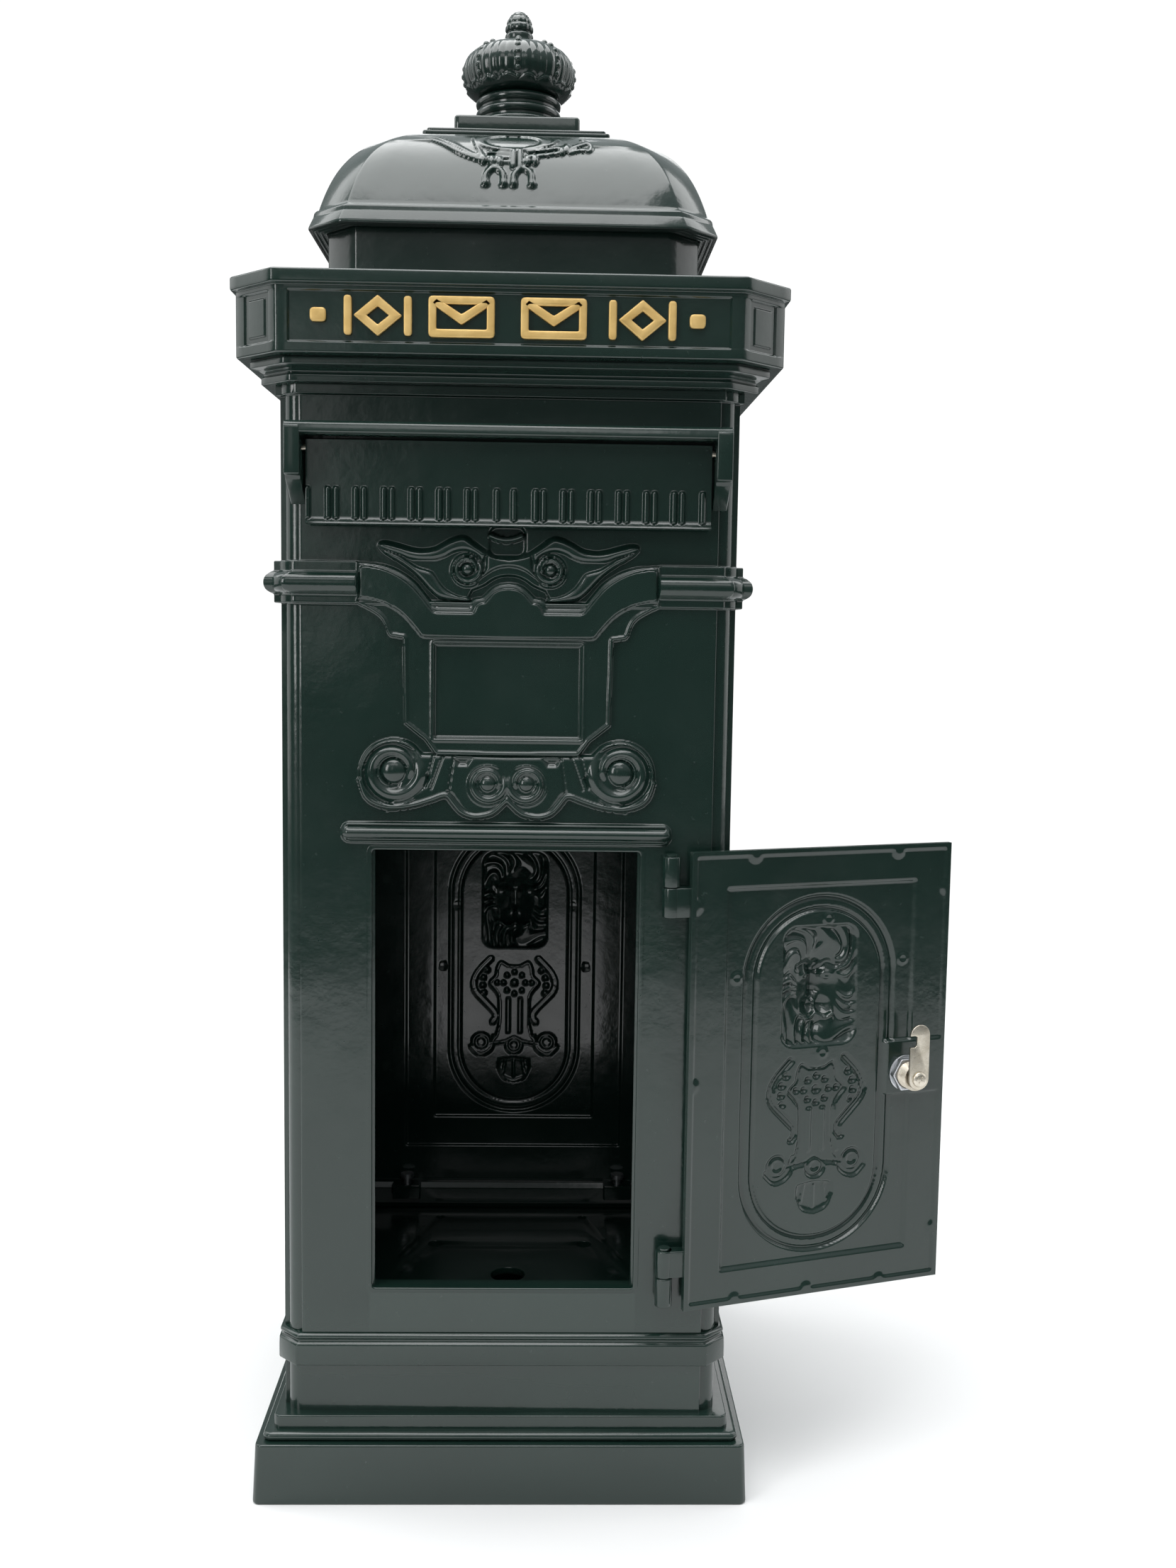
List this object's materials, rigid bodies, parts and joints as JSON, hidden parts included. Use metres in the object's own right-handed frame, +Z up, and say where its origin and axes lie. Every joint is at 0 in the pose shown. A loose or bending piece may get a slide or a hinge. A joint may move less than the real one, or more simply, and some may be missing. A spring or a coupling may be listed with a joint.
{
  "type": "mailbox",
  "caption": "Free-standing cast letter box on a square pillar, with a stepped base, lockable front door, hooded letter flap, chamfered cornice, domed roof and crown finial.",
  "frame": {"origin": "centre of the square base on the ground", "axes": "+Z up, the front with the door and letter flap faces -Y, +X is the viewer's right"},
  "size_m": [0.4843, 0.356, 1.025],
  "materials": {
    "green_coat": "gloss dark green powder coat on cast aluminium",
    "gold_paint": "satin gold paint",
    "nickel": "brushed nickel plate",
    "zinc": "bright zinc plate"
  },
  "bodies": {
    "root": {"base": "green_coat", "front_panel": "green_coat", "back_panel": "green_coat", "left_panel": "green_coat", "right_panel": "green_coat", "cornice": "green_coat", "roof_curb": "green_coat", "roof_dome": "green_coat", "roof_cap": "green_coat", "finial_base": "green_coat", "crown_finial": "green_coat", "hood": "green_coat", "hinge_pin_upper": "green_coat", "hinge_pin_lower": "green_coat", "curb_screws": "green_coat", "frieze_emblems": "gold_paint", "frieze_studs": "gold_paint", "flap_pin_left": "nickel", "flap_pin_right": "nickel", "finial_stud": "zinc", "finial_nut": "zinc", "finial_washer": "zinc", "corner_screws": "zinc", "base_screws": "zinc", "cornice_screws": "zinc", "roof_screws": "zinc", "hood_screws": "zinc"},
    "door": {"door": "green_coat", "lock_body": "nickel", "lock_washer": "zinc", "lock_nut": "zinc"},
    "lock": {"lock_plug": "nickel", "lock_cam": "nickel", "cam_screw": "nickel"},
    "flap": {"letter_flap": "green_coat"}
  },
  "joints": [
    {"name": "door_hinge", "type": "hinge", "parent": "root", "child": "door", "pos_m": [0.108, -0.158, 0.29], "axis": [0, 0, 1], "range_deg": [-198.5, 0]},
    {"name": "flap_hinge", "type": "hinge", "parent": "root", "child": "flap", "pos_m": [0, -0.158, 0.6995], "axis": [-1, 0, 0], "range_deg": [0, 80]},
    {"name": "lock_turn", "type": "hinge", "parent": "door", "child": "lock", "pos_m": [0.27744, -0.10974, 0.2845], "axis": [-0.3173, 0.9483, 0], "range_deg": [0, 90]}
  ]
}
